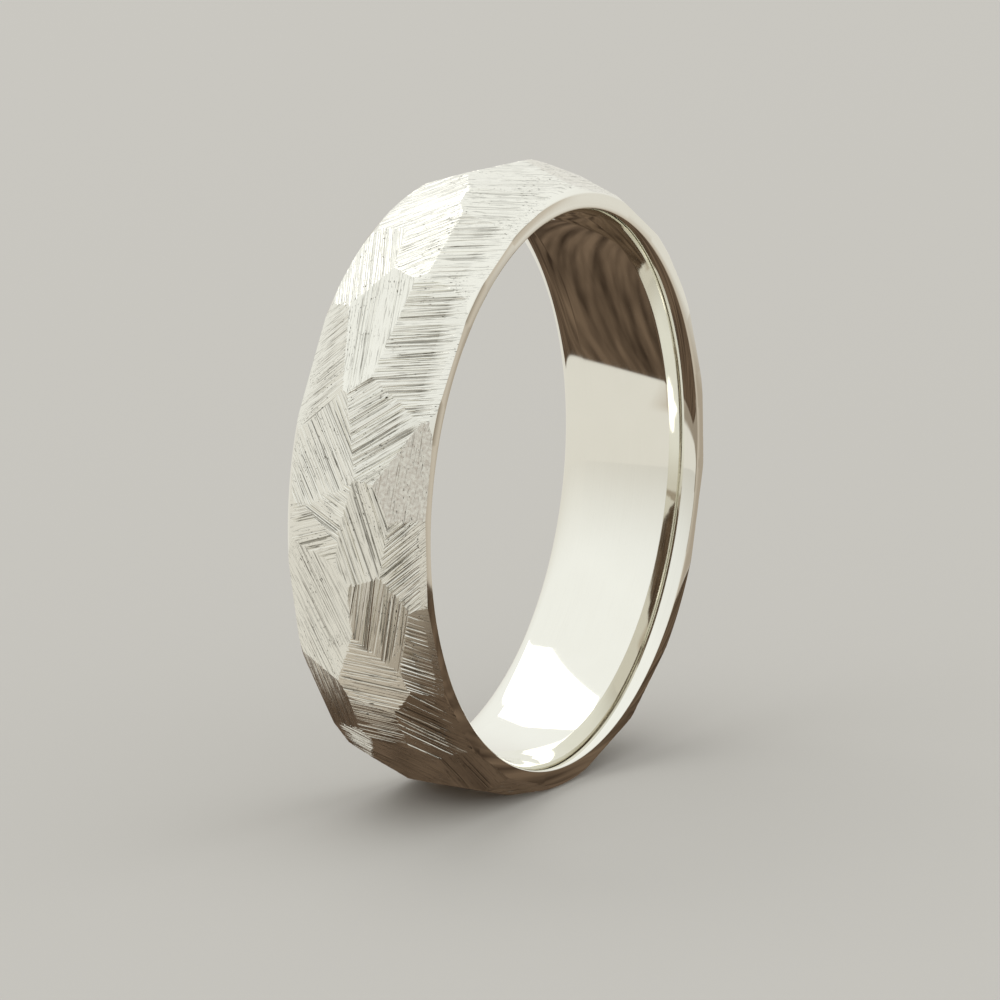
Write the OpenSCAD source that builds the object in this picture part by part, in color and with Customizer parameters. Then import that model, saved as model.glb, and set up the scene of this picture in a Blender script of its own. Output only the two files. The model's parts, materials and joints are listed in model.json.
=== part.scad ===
// Hand-filed wedding band, made from one piece of metal. The bore is a comfort
// fit, the side faces are flat, and the outside is a dome filed into flats.
//
// The band stands on its edge. The finger hole runs along Y, its centre is the
// origin, and the flat that the band stands on faces -Z.

/* [Finger hole] */
// Inside diameter, on the straight land in the middle of the bore
bore_d = 19.8; // [15:0.1:24]
// How far in from each side face the bore starts to open
comfort_width = 1.1; // [0.4:0.1:1.5]
// How much the bore's radius has grown where it meets the side face
comfort_rise = 0.3; // [0.05:0.05:0.4]
// Share of that rise that is a straight cone; the rest rounds into the side face
comfort_cone = 0.5; // [0:0.1:0.8]

/* [Band] */
// Width from side face to side face
band_width = 5.5; // [4:0.1:8]
// Metal between the bore and the top of the dome, before filing
crown_wall = 1.85; // [1.6:0.05:2.6]
// Metal between the bore and the outer corner of each side face
edge_wall = 0.85; // [0.6:0.05:1.1]
// Size of the burnished bevel on that corner
edge_bevel = 0.15; // [0.1:0.05:0.3]

/* [Filing] */
// The depth of every flat is multiplied by this
file_depth = 1; // [0.6:0.05:1.2]
// Depth of the flat that the band stands on
foot_depth = 0.8; // [0.35:0.05:0.8]
// Pattern number of the flats on the +X half of the band
filing_seed = 7; // [1:1:20]

/* [Hidden] */
$fn = 180;

bore_r = bore_d / 2;
half_width = band_width / 2;
rim_r = bore_r + edge_wall;
crown_r = bore_r + crown_wall;

// The dome is one arc over the crown, from bevel to bevel
dome_half = half_width - edge_bevel;
dome_rise = crown_r - rim_r - edge_bevel;
dome_r = (dome_half * dome_half + dome_rise * dome_rise) / (2 * dome_rise);
dome_lean = asin(dome_half / dome_r);

// Steps in each comfort curve, and how far a cutter passes the metal
comfort_steps = 10;
clear = 1;

// A flat is [clock, side, depth]. Clock is in degrees from the top towards -X.
// Side is 0 on the crown, -1 at the -Y bevel and 1 at the +Y bevel. Depth is how
// far the flat lies below the dome.
FOOT = [180, 0, foot_depth];
NEAR_FLATS = [
    [-15, -0.50, 0.30], [2, -0.35, 0.30], [15, -0.65, 0.22], [29, -0.70, 0.24],
    [54, -0.60, 0.36], [79, -0.78, 0.24], [93, -0.82, 0.25], [111, -0.85, 0.22],
    [131, -0.60, 0.28], [149, -0.60, 0.34], [163, -0.74, 0.25]
];
CROWN_FLATS = [
    [30, -0.10, 0.20], [69, -0.35, 0.28], [89, -0.24, 0.28], [106, -0.38, 0.32],
    [116, -0.12, 0.32], [130, 0.05, 0.32], [147, 0.10, 0.58], [163, 0.05, 0.64]
];
FAR_FLATS = [
    [-4, 0.50, 0.32], [18, 0.45, 0.27], [36, 0.60, 0.24], [51, 0.12, 0.30],
    [58, 0.75, 0.28], [76, 0.40, 0.32], [84, 0.30, 0.26], [89, 0.40, 0.24],
    [104, 0.50, 0.42], [127, 0.70, 0.32], [139, 0.55, 0.34], [154, 0.62, 0.40],
    [170, 0.62, 0.30]
];

// The +X half is filed in staggered rows: [first clock, last clock, count, side, depth]
FILED_ROWS = [
    [200, 328, 8, -0.66, 0.27],
    [208, 332, 5, 0.00, 0.24],
    [194, 338, 9, 0.66, 0.28]
];
clock_wander = 3;
side_wander = 0.1;
depth_wander = 0.05;

// The flats of one filed row, each a little off its regular place
function filed_row(row, number) =
    let (
        count = row[2],
        step = (row[1] - row[0]) / (count - 1),
        stray = rands(-1, 1, 3 * count, filing_seed + 20 * number)
    )
    [for (i = [0 : count - 1]) [
        row[0] + i * step + clock_wander * stray[i],
        row[3] + side_wander * stray[i + count],
        row[4] + depth_wander * stray[i + 2 * count]
    ]];

// From the bore's land out to the side face, ever steeper
function comfort_curve(end) = [for (i = [0 : comfort_steps])
    let (out = (end > 0 ? i : comfort_steps - i) / comfort_steps)
    [
        bore_r + comfort_rise * (comfort_cone * out + (1 - comfort_cone) * pow(out, 4)),
        end * (half_width - comfort_width * (1 - out))
    ]];

// Half of the band's section before filing. X is the radius, Y runs along the bore.
module section() {
    open_r = bore_r + comfort_rise;
    end = half_width + clear;
    difference() {
        intersection() {
            translate([crown_r - dome_r, 0]) circle(dome_r);
            polygon([
                [0, -half_width], [rim_r, -half_width], [rim_r + half_width, 0],
                [rim_r, half_width], [0, half_width]
            ]);
        }
        polygon(concat(
            [[-dome_r, -end], [open_r, -end]],
            comfort_curve(-1),
            comfort_curve(1),
            [[open_r, end], [-dome_r, end]]
        ));
    }
}

// What the file takes off to leave one flat
module filing(flat, depth) {
    lean = flat[1] * dome_lean;
    height = (crown_r - dome_r) * cos(lean) + dome_r - depth;
    rotate([0, -flat[0], 0])
        rotate([-lean, 0, 0])
            translate([-crown_r / 2, -crown_r / 2, height])
                cube([crown_r, crown_r, crown_wall + clear]);
}

module band() {
    color([0.86, 0.83, 0.76])
        difference() {
            rotate([-90, 0, 0]) rotate_extrude() section();
            filing(FOOT, foot_depth);
            for (flat = concat(NEAR_FLATS, CROWN_FLATS, FAR_FLATS))
                filing(flat, flat[2] * file_depth);
            for (number = [0 : len(FILED_ROWS) - 1])
                for (flat = filed_row(FILED_ROWS[number], number))
                    filing(flat, flat[2] * file_depth);
        }
}

band();
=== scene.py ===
import json
import math

import bmesh
import bpy
import numpy as np
from mathutils import Matrix, Vector


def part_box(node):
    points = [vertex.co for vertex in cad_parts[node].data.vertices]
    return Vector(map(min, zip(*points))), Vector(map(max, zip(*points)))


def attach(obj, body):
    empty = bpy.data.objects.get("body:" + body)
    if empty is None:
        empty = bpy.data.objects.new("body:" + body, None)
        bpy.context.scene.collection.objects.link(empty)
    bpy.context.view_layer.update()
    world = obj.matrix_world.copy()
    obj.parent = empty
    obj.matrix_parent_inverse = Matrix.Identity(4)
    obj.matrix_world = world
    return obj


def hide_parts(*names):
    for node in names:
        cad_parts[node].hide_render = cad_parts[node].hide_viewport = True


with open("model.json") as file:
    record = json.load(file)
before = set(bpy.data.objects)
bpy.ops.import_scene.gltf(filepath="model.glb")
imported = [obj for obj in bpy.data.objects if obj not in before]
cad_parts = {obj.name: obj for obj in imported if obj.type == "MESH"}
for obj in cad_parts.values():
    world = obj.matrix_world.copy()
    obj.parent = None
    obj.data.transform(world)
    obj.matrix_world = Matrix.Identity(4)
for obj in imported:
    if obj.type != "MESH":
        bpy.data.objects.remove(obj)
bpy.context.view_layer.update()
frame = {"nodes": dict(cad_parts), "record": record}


# ---------------------------------------------------------------- Camera
# A long lens from the band's near left, a little above the bench, so that the filed
# outside and the polished bore both show.
view_azimuth = math.radians(-61.6)
view_elevation = math.radians(12.3)
view_distance = 0.40
lens_length = 398
aim = Vector((0, 0, -0.00065))

towards_camera = Vector((
    math.sin(view_azimuth) * math.cos(view_elevation),
    -math.cos(view_azimuth) * math.cos(view_elevation),
    math.sin(view_elevation),
))
camera_data = bpy.data.cameras.new("camera")
camera_data.lens = lens_length
camera_data.clip_end = 10
camera = bpy.data.objects.new("camera", camera_data)
camera.location = aim + view_distance * towards_camera
camera.rotation_euler = towards_camera.to_track_quat("Z", "Y").to_euler()
bpy.context.scene.collection.objects.link(camera)
bpy.context.scene.camera = camera


# ---------------------------------------------------------------- Band
# One ring of warm white gold. It is turned on a lathe with a comfort-fit bore, flat side
# faces and a domed outside, and the dome is then filed by hand into flats that keep the
# marks of a coarse file. The bore, the side faces and their corners are burnished bright.

# Turned blank, in mm until the end. The bore and the width are the record's and the CAD's.
mm = 0.001
bore = frame["record"]["mounts"][0]
bore_r = bore["dims"]["r_mm"]
land = bore["dims"]["length_mm"]
low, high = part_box("band")
half_width = (high.y - low.y) / 2 / mm
comfort_rise = 0.3
comfort_cone = 0.5      # share of the rise that is a plain cone; the rest curls up at the rim
rim_wall = 0.85
bevel = 0.15
crown_wall = 1.85
corner = 0.05           # how far the burnisher rounds each corner
allowance = 0.3         # metal that turning takes off the casting
steps_round = 240

# The dome is one arc over the crown, from bevel to bevel.
dome_half = half_width - bevel
dome_rise = crown_wall - rim_wall - bevel
dome_r = (dome_half ** 2 + dome_rise ** 2) / (2 * dome_rise)
dome_centre = bore_r + crown_wall - dome_r


def rounded_corner(before, at, after, size, steps=4):
    """Points that round one corner of a section, starting and ending size away from it."""
    start = at + (before - at).normalized() * size
    end = at + (after - at).normalized() * size
    shares = [i / steps for i in range(steps + 1)]
    return [start.lerp(at, t).lerp(at.lerp(end, t), t) for t in shares]


def blank_section():
    """The rough casting's section as (radius, place along the bore), domed outside."""
    rough_bore = bore_r - allowance
    rough_half = half_width + allowance
    lean = math.asin(rough_half / dome_r)
    steps = 24
    points = [Vector((rough_bore, -rough_half)), Vector((rough_bore, rough_half))]
    for i in range(steps + 1):
        turn = lean * (1 - 2 * i / steps)
        points.append(Vector((dome_centre + dome_r * math.cos(turn), dome_r * math.sin(turn))))
    return points


def turned_section():
    """What turning leaves: comfort-fit bore, side faces and bevels, open past the crown."""
    comfort_width = half_width - land / 2
    steps = 12
    points = []
    for i in range(steps + 1):
        out = i / steps
        points.append(Vector((
            bore_r + comfort_rise * (comfort_cone * out + (1 - comfort_cone) * out ** 4),
            half_width - comfort_width * (1 - out),
        )))
    rim = Vector((bore_r + rim_wall, half_width))
    points[-1:] = rounded_corner(points[-2], points[-1], rim, corner)
    past_bevel = bevel + corner / 5
    shoulder = rim + Vector((past_bevel, -past_bevel))
    points += rounded_corner(points[-1], rim, shoulder, corner)
    points += [shoulder, Vector((bore_r + crown_wall + allowance, shoulder.y))]
    return points + [Vector((p.x, -p.y)) for p in reversed(points)]


def turned(section, steps):
    """The section turned round the Y axis, as a closed bmesh."""
    mesh = bmesh.new()
    rings = []
    for i in range(steps):
        clock = 2 * math.pi * i / steps
        rings.append([
            mesh.verts.new((-p.x * math.sin(clock), p.y, p.x * math.cos(clock)))
            for p in section
        ])
    for here, there in zip(rings, rings[1:] + rings[:1]):
        for j in range(len(section)):
            k = (j + 1) % len(section)
            mesh.faces.new((here[j], here[k], there[k], there[j]))
    bmesh.ops.recalc_face_normals(mesh, faces=mesh.faces)
    return mesh


# The flats lie where the CAD band has them, so their planes are read from its mesh.
side_face_lean = 0.9    # a normal with more of Y than this belongs to a side face
same_plane = 0.0015
smallest_flat = 0.4     # in mm2; anything smaller is a piece of the dome or of a bevel


def planes_of(node):
    """(normal, distance from the axis' centre) of each filed flat of a CAD node, in mm."""
    planes = []
    co = [v.co / mm for v in node.data.vertices]
    for face in sorted(node.data.polygons, key=lambda f: -f.area):
        corners = [co[i] for i in face.vertices]
        normal = face.normal.copy()
        outward = normal.dot(Vector((corners[0].x, 0, corners[0].z))) > 0
        if abs(normal.y) > side_face_lean or not outward:
            continue
        for plane in planes:
            if all(abs(plane[0].dot(c) - plane[1]) < same_plane for c in corners):
                plane[2] += face.area / mm ** 2
                break
        else:
            planes.append([normal, normal.dot(corners[0]), face.area / mm ** 2])
    return [(normal, distance) for normal, distance, area in planes if area > smallest_flat]


def filed(mesh, planes):
    """Files the blank down to each plane. Layer flat numbers the flats from 1."""
    number_of = mesh.faces.layers.int.new("flat")
    for number, (normal, distance) in enumerate(planes, 1):
        cut = bmesh.ops.bisect_plane(
            mesh,
            geom=mesh.verts[:] + mesh.edges[:] + mesh.faces[:],
            dist=1e-6,
            plane_co=normal * distance,
            plane_no=normal,
            clear_outer=True,
        )
        outline = [e for e in cut["geom_cut"] if isinstance(e, bmesh.types.BMEdge)]
        for face in bmesh.ops.contextual_create(mesh, geom=outline)["faces"]:
            face[number_of] = number
            face.normal_update()
            if face.normal.dot(normal) < 0:
                face.normal_flip()


planes = planes_of(frame["nodes"]["band"])
blank = turned(blank_section(), steps_round)
filed(blank, planes)

# File strokes. Each row is a flat that shows most: its clock from the top towards -X, its
# lean towards +Y, the way the file ran over it, its coarseness and its depth.
# The way is in degrees, from round the band towards across it.
strokes = [
    (-15, -18, 170, 1.0, 0.5), (2, -13, 35, 1.0, 0.5), (15, -24, 47, 1.0, 0.6),
    (29, -25, 54, 1.0, 0.8), (54, -22, 71, 1.0, 1.1), (79, -28, 5, 1.2, 0.3),
    (93, -30, 52, 1.0, 1.4), (111, -31, 123, 1.4, 1.4), (131, -22, 144, 1.5, 1.8),
    (30, -4, 44, 1.0, 0.6), (69, -13, 52, 1.0, 1.0), (89, -9, 160, 1.0, 0.9),
    (106, -14, 15, 1.4, 1.3), (116, -4, 100, 1.5, 0.8), (130, 2, 96, 1.0, 0.6),
    (18, 16, 65, 1.0, 0.5), (36, 22, 155, 1.0, 0.6), (51, 4, 170, 1.0, 0.7),
    (58, 27, 62, 1.0, 0.8), (76, 14, 144, 1.0, 0.8), (84, 11, 114, 1.0, 0.8),
    (89, 14, 72, 1.0, 0.9), (104, 18, 151, 1.0, 0.8),
]
same_flat = 2           # degrees between a row and the flat it is about
chance = np.random.default_rng(11)
stroke_of = {}
for number, (normal, distance) in enumerate(planes, 1):
    clock = math.degrees(math.atan2(-normal.x, normal.z))
    lean = math.degrees(math.asin(normal.y))
    way = chance.uniform(0, 180)
    coarseness = chance.uniform(0.9, 1.5)
    depth = chance.uniform(0.8, 1.2)
    for row in strokes:
        if abs(row[0] - clock) < same_flat and abs(row[1] - lean) < same_flat:
            way, coarseness, depth = row[2:]
    around = Vector((0, 1, 0)).cross(normal).normalized()
    over = normal.cross(around)
    if over.y < 0:
        over.negate()
    if around.dot(Vector((-normal.z, 0, normal.x))) < 0:
        around.negate()
    way = math.radians(way)
    grain = around * math.cos(way) + over * math.sin(way)
    stroke_of[number] = (grain, normal.cross(grain), coarseness, depth)

vectors = {name: blank.faces.layers.float_vector.new(name) for name in ("middle", "way", "across")}
sizes = {name: blank.faces.layers.float.new(name) for name in ("reach", "span", "coarse", "bite")}
number_of = blank.faces.layers.int["flat"]
for face in blank.faces:
    if not face[number_of]:
        continue
    normal, distance = planes[face[number_of] - 1]
    grain, across, coarseness, depth = stroke_of[face[number_of]]
    along = [v.co.dot(grain) for v in face.verts]
    aside = [v.co.dot(across) for v in face.verts]
    face[vectors["way"]] = grain
    face[vectors["across"]] = across
    face[vectors["middle"]] = (
        normal * distance
        + grain * (min(along) + max(along)) / 2
        + across * (min(aside) + max(aside)) / 2
    )
    face[sizes["reach"]] = max(along) - min(along)
    face[sizes["span"]] = max(aside) - min(aside)
    face[sizes["coarse"]] = coarseness
    face[sizes["bite"]] = depth

band_mesh = bpy.data.meshes.new("filed_band")
blank.to_mesh(band_mesh)
blank.free()
band = bpy.data.objects.new("filed_band", band_mesh)
bpy.context.scene.collection.objects.link(band)


# One stroke of the file: a furrow with a rounded foot whose ends run out to nothing. It is
# one unit long, one wide at the flat's face and one deep.
def furrow():
    """The metal one tooth takes off, as a closed mesh along X with Z out of the flat."""
    tip, full = 0.5, 0.36
    foot = 0.22
    above = 0.3
    mesh = bmesh.new()
    rings = []
    for x, deep in ((-tip, 0), (-full, 1), (full, 1), (tip, 0)):
        floor = above - (1 + above) * deep
        section = [(-1, 1), (-foot, floor), (foot, floor), (1, 1)]
        rings.append([mesh.verts.new((x, y, z)) for y, z in section])
    for here, there in zip(rings, rings[1:]):
        for i in range(4):
            j = (i + 1) % 4
            mesh.faces.new((here[i], here[j], there[j], there[i]))
    mesh.faces.new(rings[0])
    mesh.faces.new(rings[-1])
    bmesh.ops.recalc_face_normals(mesh, faces=mesh.faces)
    bmesh.ops.triangulate(mesh, faces=mesh.faces)
    made = bpy.data.meshes.new("furrow")
    mesh.to_mesh(made)
    mesh.free()
    return bpy.data.objects.new("furrow", made)


marks = bpy.data.node_groups.new("file_marks", "GeometryNodeTree")
for name, kind in (("Geometry", "Geometry"), ("Furrow", "Object"), ("Pitch", "Float"),
                   ("Width", "Float"), ("Depth", "Float"), ("Seed", "Int"), ("Metal", "Material")):
    marks.interface.new_socket(name, in_out="INPUT", socket_type="NodeSocket" + kind)
marks.interface.new_socket("Geometry", in_out="OUTPUT", socket_type="NodeSocketGeometry")
given = marks.nodes.new("NodeGroupInput").outputs


def placed(tree, kind, inputs=(), **settings):
    """A new node of the tree. Inputs is a list of (socket, value or the socket that feeds it)."""
    node = tree.nodes.new(kind)
    for name, value in settings.items():
        setattr(node, name, value)
    for key, value in inputs:
        named = [s for s in node.inputs if s.identifier == key]
        socket = named[0] if named else node.inputs[key]
        if isinstance(value, bpy.types.NodeSocket):
            tree.links.new(value, socket)
        else:
            socket.default_value = value
    return node


def number(operation, a, b=0.0):
    """One step of arithmetic in the file marks' tree."""
    return placed(marks, "ShaderNodeMath", [(0, a), (1, b)], operation=operation).outputs[0]


def vector(operation, a, b):
    """One step of vector arithmetic in the file marks' tree."""
    second = 3 if operation == "SCALE" else 1
    return placed(marks, "ShaderNodeVectorMath", [(0, a), (second, b)], operation=operation).outputs[0]


def stored(name, kind="FLOAT"):
    """A value that the flat under each stroke carries."""
    return placed(marks, "GeometryNodeInputNamedAttribute", [("Name", name)], data_type=kind).outputs[0]


def drawn(least, most, place):
    """A random number for each stroke. Place keeps one draw apart from another."""
    node = placed(marks, "FunctionNodeRandomValue", [
        ("Min_001", least),
        ("Max_001", most),
        ("Seed", number("ADD", given["Seed"], place)),
    ], data_type="FLOAT")
    return [s for s in node.outputs if s.identifier == "Value_001"][0]


centres = placed(marks, "GeometryNodeMeshToPoints", [
    ("Mesh", given["Geometry"]),
    ("Selection", number("GREATER_THAN", stored("span"), 0.0)),
], mode="FACES")
pitch = number("MULTIPLY", given["Pitch"], stored("coarse"))
rows = placed(marks, "GeometryNodeDuplicateElements", [
    ("Geometry", centres.outputs[0]),
    ("Amount", number("DIVIDE", stored("span"), pitch)),
], domain="POINT")
line = number("ADD", rows.outputs["Duplicate Index"], drawn(0.15, 0.85, 1))
offset = number("SUBTRACT", number("MULTIPLY", line, pitch), number("MULTIPLY", stored("span"), 0.5))
slide = number("MULTIPLY", stored("reach"), drawn(-0.3, 0.3, 2))
way_of = stored("way", "FLOAT_VECTOR")
across_of = stored("across", "FLOAT_VECTOR")
place = vector("ADD", stored("middle", "FLOAT_VECTOR"), vector("SCALE", across_of, offset))
place = vector("ADD", place, vector("SCALE", way_of, slide))
strokes_set = placed(marks, "GeometryNodeSetPosition", [
    ("Geometry", rows.outputs["Geometry"]),
    ("Position", place),
])
sway = vector("SCALE", across_of, drawn(-0.035, 0.035, 3))
turn = placed(marks, "FunctionNodeAxesToRotation", [
    (0, vector("CROSS_PRODUCT", way_of, across_of)),
    (1, vector("ADD", way_of, sway)),
], primary_axis="Z", secondary_axis="X")
length = number("MULTIPLY", stored("reach"), drawn(0.8, 1.8, 4))
width = number("MULTIPLY", number("MULTIPLY", given["Width"], stored("coarse")), drawn(0.4, 1.25, 5))
depth = number("MULTIPLY", number("MULTIPLY", given["Depth"], stored("bite")), drawn(0.25, 1.4, 6))
size = placed(marks, "ShaderNodeCombineXYZ", [(0, length), (1, width), (2, depth)])
tool = placed(marks, "GeometryNodeObjectInfo", [("Object", given["Furrow"])])
cuts = placed(marks, "GeometryNodeInstanceOnPoints", [
    ("Points", strokes_set.outputs[0]),
    ("Instance", tool.outputs["Geometry"]),
    ("Rotation", turn.outputs[0]),
    ("Scale", size.outputs[0]),
])
carved = placed(marks, "GeometryNodeMeshBoolean", [
    ("Mesh 1", given["Geometry"]),
    ("Mesh 2", cuts.outputs[0]),
], operation="DIFFERENCE", solver="MANIFOLD")
whole = placed(marks, "GeometryNodeRealizeInstances", [("Geometry", carved.outputs[0])])
finished = placed(marks, "GeometryNodeSetMaterial", [
    ("Geometry", whole.outputs[0]),
    ("Material", given["Metal"]),
])
placed(marks, "NodeGroupOutput", [("Geometry", finished.outputs[0])])

# Fine lines that run with the grain: what the file's small teeth, the polishing mop and wear
# leave between the furrows. Surface is the way the metal was worked, in mm.
hairlines = bpy.data.node_groups.new("hairlines", "ShaderNodeTree")
hairlines.interface.new_socket("Surface", in_out="INPUT", socket_type="NodeSocketVector")
for name in ("Length", "Spacing", "Least", "Most"):
    hairlines.interface.new_socket(name, in_out="INPUT", socket_type="NodeSocketFloat")
hairlines.interface.new_socket("Mask", in_out="OUTPUT", socket_type="NodeSocketFloat")
asked = placed(hairlines, "NodeGroupInput").outputs
cell = placed(hairlines, "ShaderNodeCombineXYZ", [(0, asked["Length"]), (1, asked["Spacing"]), (2, 1.0)])
stretched = placed(hairlines, "ShaderNodeVectorMath", [
    (0, asked["Surface"]), (1, cell.outputs[0]),
], operation="DIVIDE")
ripple = placed(hairlines, "ShaderNodeTexNoise", [
    ("Vector", stretched.outputs[0]), ("Scale", 1.0), ("Detail", 2.0),
])
mask = placed(hairlines, "ShaderNodeMapRange", [
    ("Value", ripple.outputs[0]), ("From Min", asked["Least"]), ("From Max", asked["Most"]),
])
placed(hairlines, "NodeGroupOutput", [("Mask", mask.outputs[0])])


def lines(tree, surface, length, spacing, least, most):
    """The hairlines group in a metal's tree: where it shows, from 0 to 1."""
    return placed(tree, "ShaderNodeGroup", [
        ("Surface", surface), ("Length", length), ("Spacing", spacing), ("Least", least), ("Most", most),
    ], node_tree=hairlines).outputs["Mask"]


def sum_of(tree, *parts):
    """The sum of masks, each (mask, how much of it), held between 0 and 1."""
    total = 0.0
    for mask, share in parts:
        total = placed(tree, "ShaderNodeMath", [
            (0, mask), (1, share), (2, total),
        ], operation="MULTIPLY_ADD", use_clamp=True).outputs[0]
    return total


def ramp(tree, value, least, most, start=0.0, end=1.0):
    """The value taken from least..most to start..end, and held there."""
    return placed(tree, "ShaderNodeMapRange", [
        ("Value", value), ("From Min", least), ("From Max", most), ("To Min", start), ("To Max", end),
    ]).outputs[0]


def product(tree, first, second):
    """Two masks multiplied."""
    return placed(tree, "ShaderNodeMath", [(0, first), (1, second)], operation="MULTIPLY").outputs[0]


def clouds(tree, where, scale, detail):
    """Soft noise at this scale, per metre."""
    return placed(tree, "ShaderNodeTexNoise", [
        ("Vector", where), ("Scale", scale), ("Detail", detail),
    ]).outputs[0]


def relief_of(tree, height, depth):
    """The normal of a surface sunk by the height mask, to this depth in metres."""
    return placed(tree, "ShaderNodeBump", [
        ("Height", height), ("Strength", 1.0), ("Distance", depth),
    ], invert=True).outputs[0]


def blend(tree, mask, first, second):
    """A colour that goes from the first to the second with the mask."""
    return placed(tree, "ShaderNodeMix", [
        ("Factor_Float", mask), ("A_Color", first), ("B_Color", second),
    ], data_type="RGBA").outputs[2]


# Filed flats: white gold with a satin grain. One dark colour stands for polishing dust in the furrows,
# scored lines and pits, and for painted shade deep in the furrows.
gold = (0.83, 0.815, 0.745, 1)
dull_gold = (0.70, 0.675, 0.595, 1)
rosy_gold = (0.60, 0.55, 0.49, 1)
dust_and_shade = (0.060, 0.048, 0.028, 1)
filed_metal = bpy.data.materials.new("filed_white_gold")
filed_metal.use_nodes = True
tree = filed_metal.node_tree
shader = tree.nodes["Principled BSDF"]
surface = placed(tree, "ShaderNodeUVMap", uv_map="grain").outputs[0]
place_on = placed(tree, "ShaderNodeTexCoord").outputs["Object"]
groove = placed(tree, "ShaderNodeAttribute", attribute_name="groove").outputs["Fac"]
groove = ramp(tree, groove, 0.30, 1.0)
worn = placed(tree, "ShaderNodeAttribute", attribute_name="worn").outputs["Fac"]
patches = clouds(tree, place_on, 900.0, 3.0)
mottle = ramp(tree, clouds(tree, place_on, 9000.0, 6.0), 0.36, 0.70)
mottle = product(tree, mottle, worn)
fine = lines(tree, surface, 1.6, 0.030, 0.46, 0.66)
scored = lines(tree, surface, 0.9, 0.042, 0.60, 0.65)
pits = lines(tree, surface, 0.16, 0.050, 0.645, 0.665)
pits = product(tree, pits, ramp(tree, patches, 0.50, 0.56))
metal = blend(tree, sum_of(tree, (patches, 0.20), (fine, 0.15)), gold, dull_gold)
metal = blend(tree, mottle, metal, rosy_gold)
# Painted shade and dust: the deeper a point lies in a furrow, the darker the metal. Scored lines and
# pits take the same dark colour.
metal = blend(tree, sum_of(tree, (groove, 0.62), (scored, 0.42), (pits, 0.97)), metal, dust_and_shade)
tree.links.new(metal, shader.inputs["Base Color"])
shader.inputs["Metallic"].default_value = 1
satin = ramp(tree, sum_of(tree, (groove, 0.5), (fine, 0.4), (patches, 0.3)), 0, 1, 0.14, 0.34)
tree.links.new(satin, shader.inputs["Roughness"])
relief = sum_of(tree, (fine, 0.35), (scored, 0.5), (pits, 1.0), (mottle, 0.6))
tree.links.new(relief_of(tree, relief, 0.004 * mm), shader.inputs["Normal"])

# Bore, side faces and bevels: the same metal burnished bright, with hairlines round the band.
bright_metal = bpy.data.materials.new("bright_white_gold")
bright_metal.use_nodes = True
tree = bright_metal.node_tree
shader = tree.nodes["Principled BSDF"]
surface = placed(tree, "ShaderNodeUVMap", uv_map="grain").outputs[0]
place_on = placed(tree, "ShaderNodeTexCoord").outputs["Object"]
haze = clouds(tree, place_on, 700.0, 3.0)
mop = lines(tree, surface, 5.0, 0.035, 0.50, 0.75)
scuffs = lines(tree, surface, 1.2, 0.03, 0.74, 0.80)
metal = blend(tree, sum_of(tree, (haze, 0.2), (mop, 0.10), (scuffs, 0.35)), gold, dull_gold)
tree.links.new(metal, shader.inputs["Base Color"])
shader.inputs["Metallic"].default_value = 1
shine = ramp(tree, sum_of(tree, (haze, 0.5), (mop, 0.5)), 0, 1, 0.03, 0.09)
tree.links.new(shine, shader.inputs["Roughness"])
relief = sum_of(tree, (mop, 0.4), (scuffs, 0.6))
tree.links.new(relief_of(tree, relief, 0.00006 * mm), shader.inputs["Normal"])


def applied(piece, **settings):
    """The piece's only modifier, set up with these values and turned into plain mesh."""
    modifier = piece.modifiers[0]
    for name, value in settings.items():
        setattr(modifier, name, value)
    evaluated = piece.evaluated_get(bpy.context.evaluated_depsgraph_get())
    made = bpy.data.meshes.new_from_object(evaluated)
    piece.modifiers.clear()
    piece.data = made
    return made


# The file's furrows are cut, in mm. The deepest bites go to 2.5 times this depth.
furrow_depth = 0.020
modifier = band.modifiers.new("file_marks", "NODES")
modifier.node_group = marks
values = {
    "Furrow": furrow(),
    "Pitch": 0.085,
    "Width": 0.062,
    "Depth": furrow_depth,
    "Seed": 5,
    "Metal": filed_metal,
}
for socket in marks.interface.items_tree:
    if socket.in_out == "INPUT" and socket.name in values:
        modifier[socket.identifier] = values[socket.name]
rough_mesh = applied(band)


def read(items, name, width=1):
    """One property of all of a mesh's vertices, corners or faces, as an array."""
    found = np.zeros(len(items) * width)
    items.foreach_get(name, found)
    return found.reshape(-1, width) if width > 1 else found.astype(int)


normals = np.array([normal for normal, distance in planes])
distances = np.array([distance for normal, distance in planes])
out_of_reach = 3 * furrow_depth


def sunk(points):
    """How deep points lie in furrows under the flats and the dome, and the way out of them."""
    below = distances - points @ normals.T
    deep = below.min(axis=1)
    out = normals[below.argmin(axis=1)]
    radius = np.hypot(points[:, 0], points[:, 2])
    spoke = np.hypot(radius - dome_centre, points[:, 1])
    on_dome = dome_r - spoke < deep
    deep[on_dome] = (dome_r - spoke)[on_dome]
    bulge = (radius - dome_centre) / spoke / radius
    dome_out = np.column_stack((points[:, 0] * bulge, points[:, 1] / spoke, points[:, 2] * bulge))
    out[on_dome] = dome_out[on_dome]
    deep[deep > out_of_reach] = 0
    return deep.clip(0), out


# Polishing next to the bevels rubs the furrows out, more and more towards the side faces.
# The mesh is first parted where the rubbing starts and ends, so that it has points there.
rubbed_from, rubbed_to = 0.74, 0.92
parted = bmesh.new()
parted.from_mesh(rough_mesh)
for share in (-rubbed_to, -rubbed_from, rubbed_from, rubbed_to):
    bmesh.ops.bisect_plane(
        parted,
        geom=parted.verts[:] + parted.edges[:] + parted.faces[:],
        dist=1e-6,
        plane_co=(0, share * half_width, 0),
        plane_no=(0, 1, 0),
    )
parted.to_mesh(rough_mesh)
parted.free()
co = read(rough_mesh.vertices, "co", 3)
deep, out = sunk(co)
rubbed = ((np.abs(co[:, 1]) / half_width - rubbed_from) / (rubbed_to - rubbed_from)).clip(0, 1)
rough_mesh.vertices.foreach_set("co", (co + out * (deep * rubbed)[:, None]).ravel())

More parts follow.
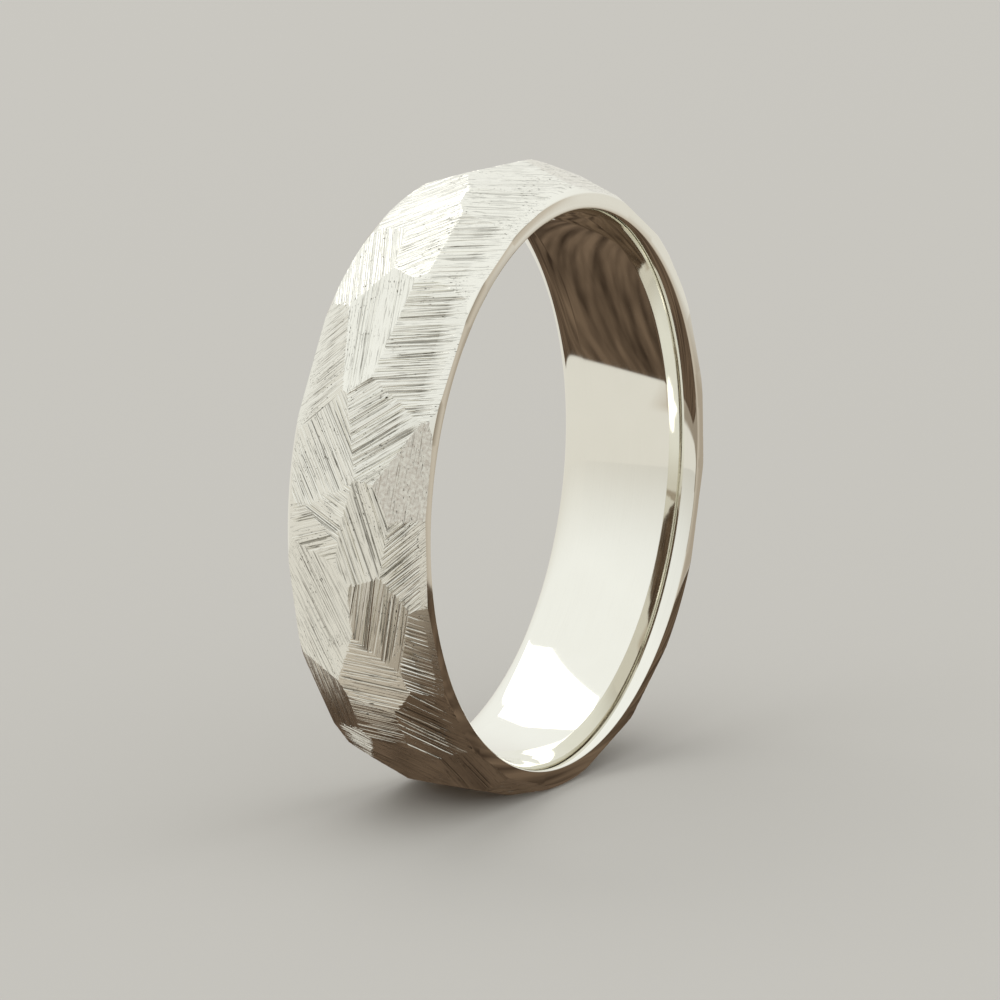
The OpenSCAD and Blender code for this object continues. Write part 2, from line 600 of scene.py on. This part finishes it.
# The bore, the side faces and the bevels are turned last, so that their edges are clean.
lathe_mesh = bpy.data.meshes.new("lathe")
lathe = turned(turned_section(), steps_round)
lathe.to_mesh(lathe_mesh)
lathe.free()
band.modifiers.new("turning", "BOOLEAN")
cut_mesh = applied(
    band, object=bpy.data.objects.new("lathe", lathe_mesh), operation="INTERSECT", solver="MANIFOLD",
)
cut_mesh.materials.clear()
cut_mesh.materials.append(filed_metal)
cut_mesh.materials.append(bright_metal)

# A face is on the flat whose plane lies nearest above it, and bright if none is near.
faces = cut_mesh.polygons
centres = read(faces, "center", 3)
outward = read(faces, "normal", 3)
below = distances - centres @ normals.T
flat_of = below.argmin(axis=1)
faces_out = (outward * normals[flat_of]).sum(axis=1) > 0.5
on_flat = (below.min(axis=1) < out_of_reach) & faces_out
bevel_lean = 0.69       # a bevel leans a little more than this towards Y, and no flat does
by_rim = np.abs(centres[:, 1]) > half_width - 1.1 * bevel
on_flat &= ~(by_rim & (np.abs(outward[:, 1]) > bevel_lean))
faces.foreach_set("material_index", (~on_flat).astype(np.int32))
faces.foreach_set("use_smooth", ~on_flat)
corner_vertex = read(cut_mesh.loops, "vertex_index")
corner_face = np.repeat(np.arange(len(faces)), read(faces, "loop_total"))

# How deep each point lies in a furrow, from 0 at the flat to 1. The filed metal's painted shade and dust
# darken with it.
co = read(cut_mesh.vertices, "co", 3)
groove = cut_mesh.attributes.new("groove", "FLOAT", "POINT")
groove.data.foreach_set("value", (sunk(co)[0] / furrow_depth).clip(0, 1))

# One flat by the near rim was worn smooth and mottled rather than filed last.
worn_clock, worn_lean = 79, -28
lean = np.degrees(np.arcsin(normals[:, 1]))
clock = np.degrees(np.arctan2(-normals[:, 0], normals[:, 2]))
is_worn = (np.abs(clock - worn_clock) < 3) & (np.abs(lean - worn_lean) < 4)
worn = cut_mesh.attributes.new("worn", "FLOAT", "FACE")
worn.data.foreach_set("value", (is_worn[flat_of] & on_flat).astype(float))

# The grain map is in mm: along and across the strokes on a flat, round the band elsewhere.
grains = np.array([stroke_of[i + 1][0] for i in range(len(planes))])
acrosses = np.array([stroke_of[i + 1][1] for i in range(len(planes))])
apart = 7.3             # keeps the pattern of one flat away from the next one's, in mm
corner_co = co[corner_vertex]
corner_flat = flat_of[corner_face]
along = (corner_co * grains[corner_flat]).sum(axis=1)
aside = (corner_co * acrosses[corner_flat]).sum(axis=1) + apart * corner_flat
turn_at = np.arctan2(corner_co[:, 0], corner_co[:, 2])
turn_mid = np.arctan2(centres[:, 0], centres[:, 2])[corner_face]
turned_by = turn_mid + (turn_at - turn_mid + np.pi) % (2 * np.pi) - np.pi
radius = np.hypot(corner_co[:, 0], corner_co[:, 2])
bright_corner = ~on_flat[corner_face]
along[bright_corner] = (turned_by * bore_r)[bright_corner]
aside[bright_corner] = (corner_co[:, 1] + radius)[bright_corner]
grain_map = cut_mesh.uv_layers.new(name="grain")
grain_map.data.foreach_set("uv", np.column_stack((along, aside)).ravel())

# The turned surfaces shade smoothly round the band, with an edge wherever the section turns.
sharpest = math.radians(8)
edged = bmesh.new()
edged.from_mesh(cut_mesh)
for edge in edged.edges:
    edge.smooth = edge.calc_face_angle(0) < sharpest
edged.to_mesh(cut_mesh)
edged.free()

for name in ("flat", "reach", "span", "coarse", "bite", "middle", "way", "across"):
    if name in cut_mesh.attributes:
        cut_mesh.attributes.remove(cut_mesh.attributes[name])
cut_mesh.transform(Matrix.Scale(mm, 4))
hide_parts("band")
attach(band, "root")


# ---------------------------------------------------------------- Bench and light
# A pale, even bench under a wide soft sky, with one large soft lamp high behind the band.
# In the metal's reflections only, the band stands on a dark walnut block beside a tan tray.
bench_reach = 3
bench_mesh = bpy.data.meshes.new("bench")
bench_mesh.from_pydata(
    [(x * bench_reach, y * bench_reach, low.z) for x, y in ((-1, -1), (1, -1), (1, 1), (-1, 1))],
    [],
    [(0, 1, 2, 3)],
)
bench = bpy.data.objects.new("bench", bench_mesh)
bpy.context.scene.collection.objects.link(bench)
bench_finish = bpy.data.materials.new("bench")
bench_finish.use_nodes = True
shade = bench_finish.node_tree
shader = shade.nodes["Principled BSDF"]
shader.inputs["Roughness"].default_value = 1
shader.inputs["Specular IOR Level"].default_value = 0
shader.inputs["Base Color"].default_value = (0.52, 0.50, 0.47, 1)

# What the metal mirrors, placed along and across a block turned to the band, in metres.
block_turn = math.radians(60)
block_along = (-28 * mm, 30 * mm)
block_across = (-35 * mm, 10 * mm)
soft_edge = 0.2 * mm
cream = (0.85, 0.835, 0.785, 1)
tan = (0.46, 0.40, 0.33, 1)
deep_shade = (0.36, 0.31, 0.25, 1)
light_shade = (0.64, 0.58, 0.50, 1)
walnut_dark = (0.045, 0.030, 0.020, 1)
walnut_light = (0.20, 0.14, 0.095, 1)


def distance_along(turn_by):
    """How far the bench's point lies from the band, the way turned by this angle from X."""
    return placed(shade, "ShaderNodeVectorMath", [
        (0, where), (1, (math.cos(turn_by), math.sin(turn_by), 0)),
    ], operation="DOT_PRODUCT").outputs["Value"]


where = placed(shade, "ShaderNodeTexCoord").outputs["Object"]
along_block = distance_along(block_turn)
across_block = distance_along(block_turn + math.pi / 2)
on_block = 1.0
for measured, (least, most) in ((across_block, block_across), (along_block, block_along)):
    on_block = product(shade, on_block, ramp(shade, measured, least - soft_edge, least + soft_edge))
    on_block = product(shade, on_block, ramp(shade, measured, most + soft_edge, most - soft_edge))

# A tan tray lies past the block on one side, and the block's shadow on the other.
tray_near = ramp(shade, across_block, -36 * mm, -34 * mm, 1.0, 0.0)
on_tray = product(shade, tray_near, ramp(shade, across_block, -95 * mm, -72 * mm))
by_block = ramp(shade, across_block, 17 * mm, 21 * mm, 1.0, 0.0)
in_shade = product(shade, by_block, ramp(shade, along_block, -1 * mm, 2 * mm, 1.0, 0.0))
shaded = blend(shade, ramp(shade, along_block, -13 * mm, -3 * mm), deep_shade, light_shade)
stretched = placed(shade, "ShaderNodeMapping", [
    ("Vector", where), ("Rotation", (0, 0, -block_turn)), ("Scale", (90, 900, 1)),
]).outputs[0]
streaks = ramp(shade, clouds(shade, stretched, 1.0, 3.0), 0.3, 0.7)
mirrored = blend(shade, on_tray, cream, tan)
mirrored = blend(shade, in_shade, mirrored, shaded)
mirrored = blend(shade, on_block, mirrored, blend(shade, streaks, walnut_dark, walnut_light))
# Painted reflection: glossy rays see these colours glowing from the bench, with the block's shadow
# painted beside it. Camera rays see the plain pale bench.
reflected = placed(shade, "ShaderNodeEmission", [("Color", mirrored)]).outputs[0]
path = placed(shade, "ShaderNodeLightPath")
seen = placed(shade, "ShaderNodeMixShader", [
    (0, path.outputs["Is Glossy Ray"]), (1, shader.outputs[0]), (2, reflected),
]).outputs[0]
shade.links.new(seen, shade.nodes["Material Output"].inputs["Surface"])
bench_mesh.materials.append(bench_finish)

world = bpy.data.worlds.new("sky")
world.use_nodes = True
air = world.node_tree
way_out = placed(air, "ShaderNodeTexCoord").outputs["Generated"]
upwards = placed(air, "ShaderNodeSeparateXYZ", [(0, way_out)]).outputs[2]
height = placed(air, "ShaderNodeMapRange", [
    ("Value", upwards), ("From Min", -0.1), ("From Max", 0.6),
], interpolation_type="SMOOTHSTEP").outputs[0]
skyline = (0.83, 0.815, 0.765, 1)
overhead = (1.05, 1.07, 1.06, 1)
glow = blend(air, height, skyline, overhead)
dim_side = placed(air, "ShaderNodeVectorMath", [
    (0, way_out), (1, (-0.88, -0.475, 0)),
], operation="DOT_PRODUCT").outputs["Value"]
dimmed = ramp(air, dim_side, 0.3, 1.0, 1.0, 0.86)
air.links.new(dimmed, air.nodes["Background"].inputs["Strength"])
air.links.new(glow, air.nodes["Background"].inputs["Color"])
bpy.context.scene.world = world
bpy.context.scene.view_settings.view_transform = "Standard"

lamp_data = bpy.data.lights.new("softbox", "AREA")
lamp_data.shape = "RECTANGLE"
lamp_data.size = 0.40
lamp_data.size_y = 0.26
lamp_data.energy = 0.42
lamp_data.color = (1, 0.99, 0.97)
lamp = bpy.data.objects.new("softbox", lamp_data)
lamp_distance = 0.6
lamp_azimuth = math.radians(148)
lamp_elevation = math.radians(50)
lamp.location = lamp_distance * Vector((
    math.sin(lamp_azimuth) * math.cos(lamp_elevation),
    -math.cos(lamp_azimuth) * math.cos(lamp_elevation),
    math.sin(lamp_elevation),
))
lamp.rotation_euler = lamp.location.to_track_quat("Z", "Y").to_euler()
bpy.context.scene.collection.objects.link(lamp)
